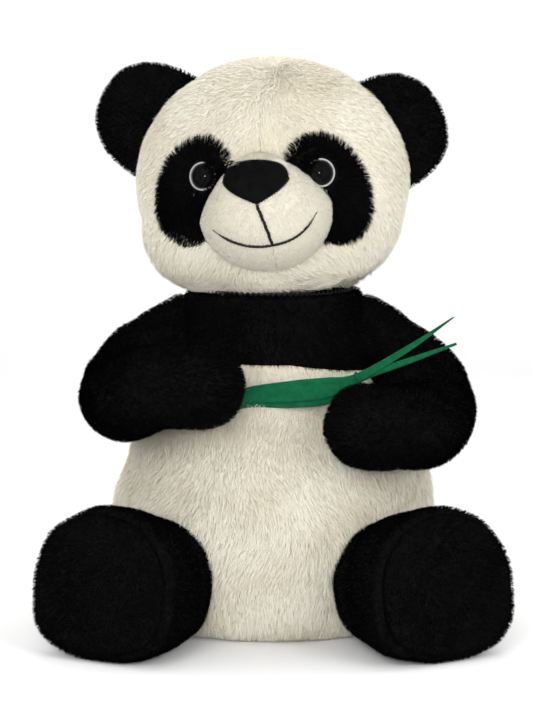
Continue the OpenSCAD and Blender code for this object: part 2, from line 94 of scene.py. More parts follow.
NOSE_BOTTOM = 13.6
SMILE_Z = -18.8
SMILE_HALF = 32
SMILE_RISE = 14.5
EAR_RADIUS = 36
EAR_TIP = {"left": 35, "right": 29}
EAR_ROOT = 7
EAR_SUNK = {"left": 3, "right": 5}
EAR_WAY = {"left": (76, 5, 41), "right": (78, 5, 30)}
EAR_LEAN = {"left": 57, "right": 65}
ARM_RADIUS = 26
SHOULDER = (61.6, 184.5)
ELBOW_REACH = {"left": 33.2, "right": 39}
SHOULDER_TAPER = 0.81
# Each paw's Y and Z, the elbow's sag, and how far the paw's end is from the arm's bend.
PAWS = {"left": (-98.5, 167, 20, 44), "right": (-92, 141, 16, 30)}
LEG_RADIUS = 40
SOLE_RADIUS = 47
LEG_LENGTH = 46
LEG_TILT = 8
SKIN = 1.2
LEG_SPLAY = 30
HIP_OPENING = 52
HIP_GAP = 1.2
SHOULDER_SEAM_RADIUS = 18.4
NECK_SEAM_RADIUS = 51.5
NECK_SEAM_DROP = 67.9
TIE_SLOPE = -22
# Points along each blade: X, Y, Z and the ribbon's width.
UPPER_BLADE = [
    (-38, -73.4, 146, 5), (-20, -71.6, 156.4, 9.5), (12, -77.6, 160.8, 13.4), (34, -80, 163.6, 12.6),
    (52, -82.6, 170, 5.8), (84, -87, 189.5, 3.7), (110, -89, 208, 0.9),
]
LOWER_BLADE = [
    (-36, -71.6, 142, 5), (-20, -69.8, 153, 8), (12, -75, 154.5, 8.5), (34, -77.4, 157.5, 8.5),
    (52, -80.6, 169, 5), (84, -84.5, 181, 3.3), (112, -87, 191.5, 0.9),
]


# ---- Vectors and surfaces ----

def unit(v):
    return v / np.maximum(np.linalg.norm(v, axis=-1, keepdims=True), 1e-9)


def turned(axis, degrees):
    """The matrix that turns about X, Y or Z."""
    c = math.cos(math.radians(degrees))
    s = math.sin(math.radians(degrees))
    i, j = {"X": (1, 2), "Y": (2, 0), "Z": (0, 1)}[axis]
    made = np.eye(3)
    made[i, i], made[j, j] = c, c
    made[i, j], made[j, i] = -s, s
    return made


def turned_back(across, up, degrees):
    """Across and up on an outline that leans by an angle, for a place on the face."""
    c, s = math.cos(math.radians(degrees)), math.sin(math.radians(degrees))
    return across * c + up * s, up * c - across * s


def leaned(across, up, degrees):
    """The place on the face, for a place across and up on an outline that leans by an angle."""
    c, s = math.cos(math.radians(degrees)), math.sin(math.radians(degrees))
    return across * c - up * s, across * s + up * c


def joint_place(name):
    return np.array(JOINT[name]["pos_m"]) / MM


HEAD_CENTRE = joint_place("neck_turn")
HEAD_AXES = turned("Y", -HEAD_ROLL) @ turned("Z", -HEAD_TURN)
HIPS = {side: joint_place("hip_splay_" + side) for side in SIDES}


def on_head(points):
    """Points given in the head's own place, in the frame."""
    return np.asarray(points, float) @ HEAD_AXES.T + HEAD_CENTRE


def in_head(points):
    return (np.asarray(points, float) - HEAD_CENTRE) @ HEAD_AXES


def arc(first, last, count):
    """Angles in degrees, spread evenly, as radians."""
    return np.radians(np.linspace(first, last, count))


def hump(value, middle, spread):
    """1 at the middle, falling smoothly to 0 on both sides."""
    return np.exp(-(((value - middle) / spread) ** 2))


def waves(points, size, seed):
    """Smooth lumps from about -1 to 1, a size apart."""
    made = np.random.default_rng(seed)
    total = np.zeros(len(points))
    for _ in range(7):
        direction = unit(made.normal(size=3))
        length = size * made.uniform(0.7, 1.5)
        total += np.sin(points @ direction * 2 * np.pi / length + made.uniform(0, 6.28))
    return total / 4


def grid(rings, closed=False):
    """A surface through rings of points, as points and outward faces."""
    rings = np.asarray(rings, float)
    rows, columns = rings.shape[:2]
    index = np.arange(rows * columns).reshape(rows, columns)
    if closed:
        index = np.concatenate([index, index[:, :1]], axis=1)
    corners = [index[:-1, :-1], index[:-1, 1:], index[1:, 1:], index[1:, :-1]]
    return rings.reshape(-1, 3), np.stack(corners, axis=-1).reshape(-1, 4)


def flipped(surface):
    return surface[0], surface[1][:, ::-1]


def face_normals(points, faces):
    return np.cross(points[faces[:, 2]] - points[faces[:, 0]], points[faces[:, 3]] - points[faces[:, 1]])


def normals_of(points, faces):
    """A normal at each point, from the faces round it."""
    total = np.zeros_like(points)
    sizes = face_normals(points, faces)
    for corner in range(4):
        np.add.at(total, faces[:, corner], sizes)
    return unit(total)


def pushed(surface, distance):
    """The surface moved along its normals, by one distance or one for each point."""
    points, faces = surface
    distance = np.reshape(distance, (-1, 1))
    return points + normals_of(points, faces) * distance, faces


def lumpy(surface, height, size, seed):
    return pushed(surface, height * waves(surface[0], size, seed))


def thickened(surface, depth):
    """A closed shell: the surface, its inner side, and a rim between them."""
    points, faces = surface
    inner = pushed(surface, -depth)[0]
    edges = np.concatenate([faces[:, [i, (i + 1) % 4]] for i in range(4)])
    edges = edges[edges[:, 0] != edges[:, 1]]
    _, where, uses = np.unique(np.sort(edges, axis=1), axis=0, return_index=True, return_counts=True)
    rim = edges[where[uses == 1]]
    count = len(points)
    walls = np.stack([rim[:, 1], rim[:, 0], rim[:, 0] + count, rim[:, 1] + count], axis=1)
    return np.concatenate([points, inner]), np.concatenate([faces, faces[:, ::-1] + count, walls])


def mesh_piece(name, points, loops, sizes, materials, tones=None):
    """A smooth-shaded object from points in mm, the faces' corners in a row, and each face's size."""
    mesh = bpy.data.meshes.new(name)
    mesh.vertices.add(len(points))
    mesh.vertices.foreach_set("co", (np.asarray(points) * MM).astype(np.float32).ravel())
    mesh.loops.add(len(loops))
    mesh.loops.foreach_set("vertex_index", loops.astype(np.int32))
    mesh.polygons.add(len(sizes))
    starts = np.concatenate([[0], np.cumsum(sizes)[:-1]])
    mesh.polygons.foreach_set("loop_start", starts.astype(np.int32))
    mesh.polygons.foreach_set("use_smooth", np.ones(len(sizes), bool))
    if tones is not None:
        mesh.polygons.foreach_set("material_index", tones.astype(np.int32))
    for material in materials:
        mesh.materials.append(material)
    mesh.update(calc_edges=True)
    mesh.validate()
    piece = bpy.data.objects.new(name, mesh)
    bpy.context.scene.collection.objects.link(piece)
    return piece


def surface_piece(name, surface, material):
    points, faces = surface
    return mesh_piece(name, points, faces.ravel(), np.full(len(faces), 4), [material])


def stands_for(piece, node, hides=True):
    """The piece rides with its CAD node's body, and takes its place."""
    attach(piece, BODY[node])
    if hides:
        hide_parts(node)


def joined(surfaces):
    points, faces, count = [], [], 0
    for surface in surfaces:
        points.append(surface[0])
        faces.append(surface[1] + count)
        count += len(surface[0])
    return np.concatenate(points), np.concatenate(faces)


def tube(line, radius, sides=8, twist=0.0):
    """A closed tube along a line of points. A twist makes it a cord of two plies."""
    line = np.asarray(line, float)
    along = unit(np.gradient(line, axis=0))
    helper = np.array([0.0, -1.0, 0.0])
    side = unit(np.cross(along, helper))
    up = np.cross(side, along)
    run = np.concatenate([[0], np.cumsum(np.linalg.norm(np.diff(line, axis=0), axis=1))])
    radius = np.broadcast_to(radius, len(line))
    rings = []
    for a in np.linspace(0, 2 * np.pi, sides, endpoint=False):
        plies = 1 + (0.18 * np.cos(2 * (a - run * twist)) if twist else 0)
        reach = (radius * plies)[:, None]
        rings.append(line + reach * (math.cos(a) * side + math.sin(a) * up))
    rings = np.stack(rings, axis=1)
    ends = np.stack([np.repeat(line[:1], sides, 0), *rings, np.repeat(line[-1:], sides, 0)])
    return flipped(grid(ends, closed=True))


# ---- Materials ----

def principled(name, roughness, specular):
    material = bpy.data.materials.new(name)
    material.use_nodes = True
    shader = material.node_tree.nodes["Principled BSDF"]
    shader.inputs["Roughness"].default_value = roughness
    shader.inputs["Specular IOR Level"].default_value = specular
    return material, shader


def node(material, kind, **values):
    """A new shader node with its input values set by name."""
    made = material.node_tree.nodes.new(kind)
    for name, value in values.items():
        made.inputs[name.replace("_", " ")].default_value = value
    return made


def link(material, output, socket):
    material.node_tree.links.new(output, socket)


def texture(material, place, kind, **values):
    """A texture node laid out in the object's own place."""
    made = node(material, kind, **values)
    link(material, place.outputs["Object"], made.inputs["Vector"])
    return made


def add_sheen(shader, weight, roughness):
    shader.inputs["Sheen Weight"].default_value = weight
    shader.inputs["Sheen Roughness"].default_value = roughness


def mottled(material, shader, dark, light, scale, detail=4.0):
    """Base colour that wanders between two colours, with lumps of a size given in 1/m."""
    place = material.node_tree.nodes.new("ShaderNodeTexCoord")
    noise = texture(material, place, "ShaderNodeTexNoise", Scale=scale, Detail=detail)
    ramp = material.node_tree.nodes.new("ShaderNodeValToRGB")
    ramp.color_ramp.elements[0].position = 0.3
    ramp.color_ramp.elements[1].position = 0.7
    ramp.color_ramp.elements[0].color = (*dark, 1)
    ramp.color_ramp.elements[1].color = (*light, 1)
    link(material, noise.outputs["Fac"], ramp.inputs["Fac"])
    link(material, ramp.outputs["Color"], shader.inputs["Base Color"])
    return place


def bumped(material, shader, height, strength, distance):
    """Small relief from a texture's height, with a depth in metres."""
    bump = node(material, "ShaderNodeBump", Strength=strength, Distance=distance)
    link(material, height, bump.inputs["Height"])
    link(material, bump.outputs["Normal"], shader.inputs["Normal"])


def covering(name, finish, dark, light, lumps, kind, relief, strength, depth):
    """A material with wandering colour, and relief from one texture of a kind."""
    material, shader = principled(name, *finish)
    place = mottled(material, shader, dark, light, lumps)
    surface = texture(material, place, "ShaderNodeTex" + kind, **relief)
    height = surface.outputs["Distance" if kind == "Voronoi" else "Fac"]
    bumped(material, shader, height, strength, depth)
    return material, shader


def knit(name, dark, light, sheen=0.3):
    """The knitted back of a plush fabric, seen between the strands."""
    weave = {"Scale": 1400.0, "Detail": 3.0}
    material, shader = covering(name, (0.92, 0.15), dark, light, 90, "Noise", weave, 0.6, 0.0006)
    add_sheen(shader, sheen, 0.5)
    return material


def velboa(name, dark, light, sheen, specular=0.15):
    """Very short smooth pile: a fine nap over a faint rib of the knit."""
    material, shader = principled(name, 0.85, specular)
    place = mottled(material, shader, dark, light, 160)
    nap = texture(material, place, "ShaderNodeTexNoise", Scale=2300.0, Detail=4.0)
    rib = texture(material, place, "ShaderNodeTexWave", Scale=420.0, Distortion=6.0, Detail=3.0)
    mix = material.node_tree.nodes.new("ShaderNodeMath")
    mix.operation = "MULTIPLY_ADD"
    mix.inputs[1].default_value = 0.35
    link(material, rib.outputs["Fac"], mix.inputs[0])
    link(material, nap.outputs["Fac"], mix.inputs[2])
    bumped(material, shader, mix.outputs["Value"], 0.35, 0.0004)
    add_sheen(shader, sheen, 0.4)
    return material


def pile_tones(name, colours, roughness, specular, sheen):
    """One plain material for each tone of strand. Their mix gives the pile its colour variation."""
    tones = []
    for i, colour in enumerate(colours):
        material, shader = principled(f"{name}_{i + 1}", roughness, specular)
        shader.inputs["Base Color"].default_value = (*colour, 1)
        add_sheen(shader, sheen, 0.45)
        tones.append(material)
    return tones


def thread_material(name, dark, light):
    material, shader = principled(name, 0.6, 0.35)
    place = mottled(material, shader, dark, light, 900, 2.0)
    twist = texture(material, place, "ShaderNodeTexWave", Scale=900.0, Distortion=2.0)
    bumped(material, shader, twist.outputs["Fac"], 0.5, 0.0002)
    return material


def ribbon_material():
    """Woven green ribbon: a fine rib along the blade, crossed by the weft."""
    material, shader = principled("ribbon", 0.6, 0.1)
    place = mottled(material, shader, (0.002, 0.066, 0.025), (0.003, 0.098, 0.040), 260)
    warp = texture(material, place, "ShaderNodeTexWave", Scale=330.0, Distortion=0.6)
    warp.bands_direction = "Z"
    weft = texture(material, place, "ShaderNodeTexWave", Scale=560.0, Distortion=0.8)
    weft.bands_direction = "X"
    mix = material.node_tree.nodes.new("ShaderNodeMath")
    mix.operation = "ADD"
    link(material, warp.outputs["Fac"], mix.inputs[0])
    link(material, weft.outputs["Fac"], mix.inputs[1])
    bumped(material, shader, mix.outputs["Value"], 0.4, 0.00025)
    shader.inputs["Sheen Weight"].default_value = 0.02
    return material


def eye_material():
    """Polished black plastic under a clear gloss."""
    material, shader = principled("eye_gloss", 0.07, 0.16)
    mottled(material, shader, (0.003, 0.003, 0.003), (0.006, 0.006, 0.006), 400)
    return material


def moulded(name, dark, light, roughness):
    grain = {"Scale": 1800.0, "Detail": 2.0}
    return covering(name, (roughness, 0.45), dark, light, 300, "Noise", grain, 0.15, 0.0001)[0]


def cotton_material():
    """Plain cotton with the pellets showing through."""
    dark, light, pellets = (0.50, 0.45, 0.36), (0.64, 0.59, 0.50), {"Scale": 300.0}
    return covering("bag_cotton", (0.9, 0.2), dark, light, 120, "Voronoi", pellets, 0.7, 0.001)[0]


WHITE_TONES = pile_tones(
    "white_pile",
    [(0.64, 0.59, 0.475), (0.685, 0.645, 0.54), (0.715, 0.685, 0.585), (0.745, 0.72, 0.63)],
    0.85, 0.1, 0.08,
)
BLACK_TONES = pile_tones(
    "black_pile",
    [(0.001, 0.001, 0.0011), (0.0018, 0.0018, 0.0019), (0.0036, 0.0036, 0.0038)],
    0.75, 0.035, 0.002,
)
NAP_TONES = pile_tones(
    "muzzle_pile", [(0.51, 0.48, 0.40), (0.54, 0.51, 0.43), (0.565, 0.54, 0.46)], 0.85, 0.1, 0.08
)
WHITE_KNIT = knit("white_knit", (0.66, 0.59, 0.47), (0.74, 0.67, 0.55), 0.12)
BLACK_KNIT = knit("black_knit", (0.0018, 0.0018, 0.0018), (0.0035, 0.0035, 0.0035), 0.004)
CREAM_VELBOA = velboa("cream_velboa", (0.49, 0.46, 0.38), (0.53, 0.50, 0.42), 0.08)
BLACK_VELBOA = velboa("black_velboa", (0.0025, 0.0024, 0.0024), (0.0045, 0.0044, 0.0045), 0.003, 0.02)
EMBROIDERY = thread_material("embroidery_thread", (0.006, 0.005, 0.005), (0.018, 0.016, 0.015))
SEWING = thread_material("black_sewing_thread", (0.010, 0.010, 0.010), (0.02, 0.02, 0.02))
RIBBON = ribbon_material()
EYE = eye_material()
EYE_RIM = moulded("eye_rim", (0.27, 0.265, 0.26), (0.34, 0.335, 0.33), 0.4)
WASHER = moulded("washer_plastic", (0.48, 0.48, 0.46), (0.58, 0.58, 0.55), 0.55)
FIBRE = knit("fibre", (0.72, 0.72, 0.69), (0.88, 0.88, 0.86))
COTTON = cotton_material()


# ---- Pile ----

# How the strands of one fabric stand. Length, width and the space between tufts are in mm,
# density is in strands to the square mm, and the rest are shares.
Pile = namedtuple("Pile", "tones length width density tuft clump lean segments wild")


MOST_STRANDS = 38000
FINE = 1.0


def scattered(surface, density, made):
    """Random roots on a surface, so many to the square mm, with the normals there."""
    points, faces = surface
    triangles = np.concatenate([faces[:, [0, 1, 2]], faces[:, [0, 2, 3]]])
    corners = points[triangles]
    first, second, third = np.moveaxis(corners, 1, 0)
    sizes = np.linalg.norm(np.cross(second - first, third - first), axis=1) / 2
    count = int(sizes.sum() * density)
    picked = made.choice(len(triangles), count, p=sizes / sizes.sum())
    share = made.random((count, 2))
    over = share.sum(axis=1) > 1
    share[over] = 1 - share[over]
    weights = np.column_stack([1 - share.sum(axis=1), share])[:, :, None]
    normals = normals_of(points, faces)[triangles]
    return (corners[picked] * weights).sum(axis=1), unit((normals[picked] * weights).sum(axis=1))


def nearest(points, places):
    """The number of the nearest place for each point."""
    tree = kdtree.KDTree(len(places))
    for i, place in enumerate(places):
        tree.insert(place, i)
    tree.balance()
    return np.array([tree.find(point)[1] for point in points])


def plush(node_name, surface, cloth, style, comb, seed, keep=None, longer=None, depth=1.0, kind="_pile"):
    """A sewn panel in place of its CAD node, with strands in pieces of at most MOST_STRANDS.

    comb gives the way the pile lies at each root, keep says which roots stay, and longer
    gives a share of the style's length at each root."""
    stands_for(surface_piece(node_name + "_fabric", thickened(surface, depth), cloth), node_name)
    made = np.random.default_rng(seed)
    roots, normals = scattered(surface, style.density * FINE, made)
    if keep is not None:
        stays = keep(roots)
        roots, normals = roots[stays], normals[stays]
    count = len(roots)
    length = style.length * made.uniform(0.72, 1.12, count)
    if longer is not None:
        length = length * longer(roots)
    flow = comb(roots)
    flow = unit(flow - normals * np.sum(flow * normals, axis=1, keepdims=True))
    tuft_count = max(1, int(count / (style.density * FINE * style.tuft ** 2)))
    tufts = made.choice(count, tuft_count, replace=False)
    tuft = nearest(roots, roots[tufts])
    sway = made.normal(size=(len(tufts), 3)) * style.wild
    tuft_way = unit(normals[tufts] + style.lean * flow[tufts] + sway)
    tuft_tip = roots[tufts] + tuft_way * (length[tufts] * 1.04)[:, None]
    way = unit(normals + style.lean * flow + sway[tuft] * 0.7 + made.normal(size=(count, 3)) * 0.24)
    tips = roots + way * length[:, None]
    tips += (tuft_tip[tuft] - tips) * (style.clump * made.uniform(0.4, 1.0, count))[:, None]
    middle = roots + normals * (length * 0.5)[:, None]
    middle = middle + made.normal(size=(count, 3)) * 0.05 * style.length
    shares = {2: (0, 0.55, 1), 3: (0, 0.4, 0.75, 1)}[style.segments]
    widths = {2: (1, 0.8, 0), 3: (1, 0.92, 0.62, 0)}[style.segments]
    side = unit(np.cross(tips - roots, normals + made.normal(size=(count, 3)) * 0.45))
    reach = style.width / 2 * made.uniform(0.75, 1.25, count)
    columns = []
    for t, width in zip(shares, widths):
        centre = (1 - t) ** 2 * roots + 2 * t * (1 - t) * middle + t * t * tips
        if width:
            edge = side * (reach * width)[:, None]
            columns += [centre - edge, centre + edge]
        else:
            columns.append(centre)
    strands = np.stack(columns, axis=1)
    strands[:, :, 2] = np.maximum(strands[:, :, 2], 0.2)
    shade = 0.5 + 0.3 * waves(roots, 34, 61) + made.uniform(-0.45, 0.45, count)
    tone = np.clip(shade * len(style.tones), 0, len(style.tones) - 1).astype(int)
    for part in range(math.ceil(count / MOST_STRANDS)):
        these = slice(part * MOST_STRANDS, (part + 1) * MOST_STRANDS)
        piece = strand_piece(f"{node_name}{kind}_{part + 1}", strands[these], tone[these], style)
        stands_for(piece, node_name, hides=False)


def strand_piece(name, strands, tone, style):
    """One mesh of tapered strands: quads up to a last triangle each."""
    count, per = strands.shape[:2]
    pattern, sizes = [], []
    for step in range(style.segments - 1):
        pattern += [2 * step, 2 * step + 1, 2 * step + 3, 2 * step + 2]
        sizes.append(4)
    pattern += [per - 3, per - 2, per - 1]
    sizes.append(3)
    loops = (np.arange(count)[:, None] * per + np.array(pattern)).ravel()
    return mesh_piece(
        name, strands.reshape(-1, 3), loops, np.tile(sizes, count), style.tones,
        np.repeat(tone, len(sizes)),
    )


def whip_stitch(seam, centre, axis, radius, turns, wire=0.45):
    """Hand stitches wound round a seam ring: a helix whose middle follows the ring."""
    axis = unit(np.asarray(axis, float))
    side = unit(np.cross(axis, [0.31, 0.2, 0.93]))
    up = np.cross(axis, side)
    t = np.linspace(0, 2 * np.pi, turns * 10)
    out = np.cos(t)[:, None] * side + np.sin(t)[:, None] * up
    wound = t * turns
    line = centre + out * (radius + 0.9 * np.cos(wound))[:, None] + axis * (0.9 * np.sin(wound))[:, None]
    stitches = surface_piece(seam.replace("seam", "stitches"), tube(line, wire, 6), SEWING)
    stands_for(stitches, seam)


# ---- Stuffing ----

def stuffing(node_name, material, voxel, height, size, rounding=6, moved=None):
    """A soft lump in place of a plain CAD solid: remeshed, rounded, then dented inwards.

    moved gives the points' new places where the fabric over them is pressed in."""
    source = frame["nodes"][node_name]
    piece = bpy.data.objects.new(node_name + "_stuffing", source.data.copy())
    bpy.context.scene.collection.objects.link(piece)
    remesh = piece.modifiers.new("remesh", "REMESH")
    remesh.mode = "VOXEL"
    remesh.voxel_size = voxel * MM
    remesh.use_smooth_shade = True
    smooth = piece.modifiers.new("smooth", "SMOOTH")
    smooth.iterations = rounding
    graph = bpy.context.evaluated_depsgraph_get()
    mesh = bpy.data.meshes.new_from_object(piece.evaluated_get(graph))
    piece.modifiers.clear()
    piece.data = mesh
    count = len(mesh.vertices)
    points, normals = np.zeros(count * 3, np.float32), np.zeros(count * 3, np.float32)
    mesh.vertices.foreach_get("co", points)
    mesh.vertices.foreach_get("normal", normals)
    points, normals = points.reshape(-1, 3) / MM, normals.reshape(-1, 3)
    dent = height * (0.55 + 0.45 * np.clip(waves(points, size, len(node_name)), -1, 1))
    points = points - normals * dent[:, None]
    if moved is not None:
        points = moved(points)
    mesh.vertices.foreach_set("co", (points * MM).astype(np.float32).ravel())
    mesh.materials.clear()
    mesh.materials.append(material)
    mesh.update()
    stands_for(piece, node_name)


# ---- Torso ----

def profile(z, column):
    """The torso's half width or depth at a height, smoothed between the profile's rows."""
    heights = [row[0] for row in TORSO_PROFILE]
    shares = [row[column] for row in TORSO_PROFILE]
    z = np.asarray(z, float)
    spread = np.clip(np.minimum(z, NECK_Z - z) * 0.5, 0, 5)
    total = sum(np.interp(z + step * spread, heights, shares) for step in (-1, -0.5, 0, 0.5, 1))
    return total / 5 * TORSO_HALF[column - 1]


def torso_rings(heights, angles, inset):
    a = np.radians(angles)[None, :]
    z = np.asarray(heights, float)[:, None]
    x = (profile(z, 1) - inset) * np.cos(a)
    y = (profile(z, 2) - inset) * np.sin(a)
    return np.stack([x, y, z + 0 * a], axis=-1)


def hip_hollow(points):
    """Moves points that are inside a leg's ball out to the ball's back."""
    points = points.copy()
    inner = np.array([0, 0, 70.0])
    for hip in HIPS.values():
        way = unit(inner - hip)
        reach = LEG_RADIUS + HIP_GAP
        offset = points - hip
        inside = np.linalg.norm(offset, axis=-1) < reach
        along = np.sum(offset * way, axis=-1)
        side = np.sum(offset * offset, axis=-1) - along ** 2
        move = np.sqrt(np.maximum(reach ** 2 - side, 0)) - along
        points[inside] += (move[..., None] * way)[inside]
    return points


def torso_panel(low, high, first, last):
    rows = np.linspace(low, high, max(3, int((high - low) / 3)))
    columns = np.linspace(first, last, int((last - first) / 3))
    rings = torso_rings(rows, columns, SKIN)
    if high == NECK_Z:
        collar = [
            rings[-1] * [share, share, 1] + [0, 0, rise]
            for share, rise in ((0.985, 0.9), (0.94, 1.8), (0.86, 2.4), (0.75, 2.8))
        ]
        rings = np.concatenate([rings, collar])
    x, y, z = np.moveaxis(rings, -1, 0)
    yoke_slope = 0.17 * np.clip(x - 10, 0, 60) + 1.7 * np.clip(x - 52, 0, 12)
    z -= yoke_slope * hump(z, YOKE_Z, 14) * np.clip(-y / 9, 0, 1)
    x += 4.5 * np.clip(-x / 95, 0, 1) * hump(z, 105, 20)
    x += 5 * np.clip(x / 55, 0, 1) ** 2 * hump(z, 160, 15)
    return lumpy(grid(hip_hollow(rings)), 0.7, 26, 3)


def arm_line(side, a):
    """The middle of an arm at an angle round its bend, for the right side's X."""
    y, z, sag, _ = PAWS[side]
    power = np.where(np.asarray(a) < 90, 1.6, 2)
    a = np.radians(a)
    x = SHOULDER[0] + ELBOW_REACH[side] * np.sin(a)
    drop = (1 - np.cos(a)) / 2
    hang = sag * np.maximum(np.sin(a), 0) ** power
    return np.stack([x, y * drop, SHOULDER[1] + (z - SHOULDER[1]) * drop - hang], axis=-1)


def arm_middle(side):
    """Points along the whole middle of an arm, out to the paw."""
    line = arm_line(side, np.linspace(0, 180, 31))
    reach = PAWS[side][3] - ARM_RADIUS
    paw = line[-1] - np.outer(np.linspace(0.2, 1, 5) * reach, [1, 0, 0])
    return np.concatenate([line, paw]) * [SIDES[side], 1, 1]


ARM_MIDDLES = {side: arm_middle(side) for side in SIDES}


def clear_of_arms(points, gap=0.0):
    clear = np.ones(len(points), bool)
    for middle in ARM_MIDDLES.values():
        away = np.linalg.norm(points[:, None] - middle[None], axis=2).min(axis=1)
        clear &= away > ARM_RADIUS + gap
    return clear


def torso_keep(points):
    """Roots that aren't under a leg, an arm, the head or the seat."""
    stays = clear_of_arms(points, -2) & (points[:, 2] > 1)
    for hip in HIPS.values():
        stays &= np.linalg.norm(points - hip, axis=1) > LEG_RADIUS + 2.5
    return stays & (np.linalg.norm(points - HEAD_CENTRE, axis=1) > 82)


def belly_comb(points):
    """Down, swirling a little, and out over the round of the belly."""
    flow = np.zeros_like(points)
    flow[:, 2] = -1
    flow[:, 0] = 0.55 * waves(points, 70, 21)
    flow[:, 1] = 0.35 * waves(points, 60, 22)
    return flow


def belly_length(points):
    """Longer low on the belly, brushed shorter where the leaves lie."""
    return np.interp(points[:, 2], [0, 60, 130, 175], [0.95, 1.1, 0.95, 0.6])


WHITE_BODY = Pile(WHITE_TONES, 7.0, 0.3, 2.5, 5.0, 0.1, 1.6, 3, 0.2)
WHITE_BACK = Pile(WHITE_TONES, 7.6, 0.44, 1.3, 5.0, 0.2, 1.7, 2, 0.18)
BLACK_BODY = Pile(BLACK_TONES, 3.6, 0.4, 1.3, 2.8, 0.2, 1.0, 2, 0.15)


def make_torso():
    panels = {
        "belly_front": (2, YOKE_Z, 180, 360, WHITE_KNIT, WHITE_BODY),
        "back_left": (2, YOKE_Z, 90, 180, WHITE_KNIT, WHITE_BACK),
        "back_right": (2, YOKE_Z, 0, 90, WHITE_KNIT, WHITE_BACK),
        "chest_front": (YOKE_Z, NECK_Z, 180, 360, BLACK_KNIT, BLACK_BODY),
        "chest_back": (YOKE_Z, NECK_Z, 0, 180, BLACK_KNIT, BLACK_BODY),
    }
    for seed, (name, (low, high, first, last, cloth, style)) in enumerate(panels.items()):
        surface = torso_panel(low, high, first, last)
        longer = belly_length if cloth is WHITE_KNIT else None
        plush(name, surface, cloth, style, belly_comb, 30 + seed, torso_keep, longer)
    angles = np.linspace(0, 360, 97)[:-1]
    ring = torso_rings([0.6], angles, 3)[0]
    shares = (1, 0.97, 0.8, 0.6, 0.4, 0.2, 0.02)
    seat = [ring * [share, share, 1] + [0, 0, 0.5 * share] for share in shares]
    seat = flipped(grid(seat, closed=True))
    stands_for(surface_piece("base_panel_fabric", thickened(seat, -1.4), WHITE_KNIT), "base_panel")
    stuffing("body_filling", FIBRE, 4, 1.4, 16)
    stuffing("pellet_bag", COTTON, 2, 0.8, 7)
    for side, sign in SIDES.items():
        centre = np.array([sign * SHOULDER[0], 0, SHOULDER[1]])
        whip_stitch("shoulder_seam_" + side, centre, [1, 0, 0], SHOULDER_SEAM_RADIUS, 44)


# ---- Neck ----

def make_neck():
    stuffing("neck_filling", FIBRE, 3, 0.8, 12)
    whip_stitch("neck_seam", HEAD_CENTRE - [0, 0, NECK_SEAM_DROP], [0, 0, 1], NECK_SEAM_RADIUS, 90, 0.35)


# ---- Head ----

def face_y(x, z):
    inside = 1 - (x / HEAD_HALF[0]) ** 2 - (z / HEAD_HALF[2]) ** 2
    return -HEAD_HALF[1] * np.sqrt(np.maximum(inside, 0.001))


def head_rings(latitudes, longitudes, inset):
    b = np.radians(latitudes)[:, None]
    a = np.radians(longitudes)[None, :]
    half = HEAD_HALF - inset
    full = 0.1 - 0.065 * np.cos(a)
    jowl = 1 + full * np.clip((-np.sin(b) * half[2] - 20) / 32, 0, 1) ** 1.1
    flat = np.cos(b) * jowl
    x, y = half[0] * flat * np.cos(a), half[1] * flat * np.sin(a)
    return np.stack([x, y, half[2] * np.sin(b) + 0 * a], axis=-1)


def egg(rise):
    """Share of the muzzle's half width at a share of its half height."""
    return 1 - MUZZLE_PINCH * np.maximum(0, rise)


def to_muzzle(x, z):
    """Sideways and up on the muzzle, for a place on the face."""
    return turned_back(x - MUZZLE_CENTRE[0], z - MUZZLE_CENTRE[1], MUZZLE_TILT)


def muzzle_share(x, z):
    """0 at the muzzle's middle and 1 on its outline."""
    u, w = to_muzzle(x, z)
    rise = w / MUZZLE_HALF[1]
    return np.hypot(u / (MUZZLE_HALF[0] * egg(rise)), rise)


def to_patch(x, z, sign):
    """Across and up on an eye patch, for a place on the face."""
    across, up = PATCH_CENTRE[sign]
    return turned_back(sign * x - across, z - up, PATCH_SLANT)


def patch_share(x, z, sign):
    u, w = to_patch(x, z, sign)
    return np.hypot(u / PATCH_HALF[0], w / PATCH_HALF[1])


def head_keep(points):
    """Roots that aren't under the muzzle, an eye patch, an ear or the neck."""
    x, y, z = in_head(points).T
    front = y < 0
    stays = ~(front & (muzzle_share(x, z) < 0.97)) & (z > -66)
    for sign in (-1, 1):
        stays &= ~(front & (patch_share(x, z, sign) < 0.97))
    for place, axes in EARS.values():
        across, through, out = ((points - place) @ axes).T
        stays &= ~((np.abs(across) < 33) & (np.abs(through) < 5.5) & (out < 6))
    return stays


def head_comb(points):
    """Away from the face, then down: the pile lies back over the crown and hangs at the chin."""
    p = in_head(points)
    flow = np.column_stack([p[:, 0] * 0.012, 0.35 + 0 * p[:, 0], -0.9 + 0 * p[:, 0]])
    flow[:, 0] += 0.35 * waves(p, 60, 41)
    flow[:, 2] += 0.25 * waves(p, 70, 42)
    chin = np.clip((-p[:, 2] - 25) / 30, 0, 1)
    flow[:, 1] -= 0.75 * chin * (p[:, 1] < 0)
    return flow @ HEAD_AXES.T


def head_length(points):
    """Short on the brow and round the muzzle, long at the cheeks and chin."""
    x, y, z = in_head(points).T
    chin = np.clip((-z - 18) / 30, 0, 1)
    front = np.clip(-y / 40, 0, 1)
    middle = front * hump(x, 0, 26)
    return 0.85 + chin * (0.5 - 0.85 * middle) - 0.15 * front * (1 - chin)


WHITE_HEAD = Pile(WHITE_TONES, 6.4, 0.28, 2.8, 4.2, 0.1, 1.8, 3, 0.1)
WHITE_NAPE = Pile(WHITE_TONES, 6.4, 0.42, 1.4, 4.2, 0.15, 1.8, 2, 0.14)
PATCH = Pile(BLACK_TONES, 5.4, 0.34, 3.0, 2.4, 0.5, 1.25, 2, 0.2)


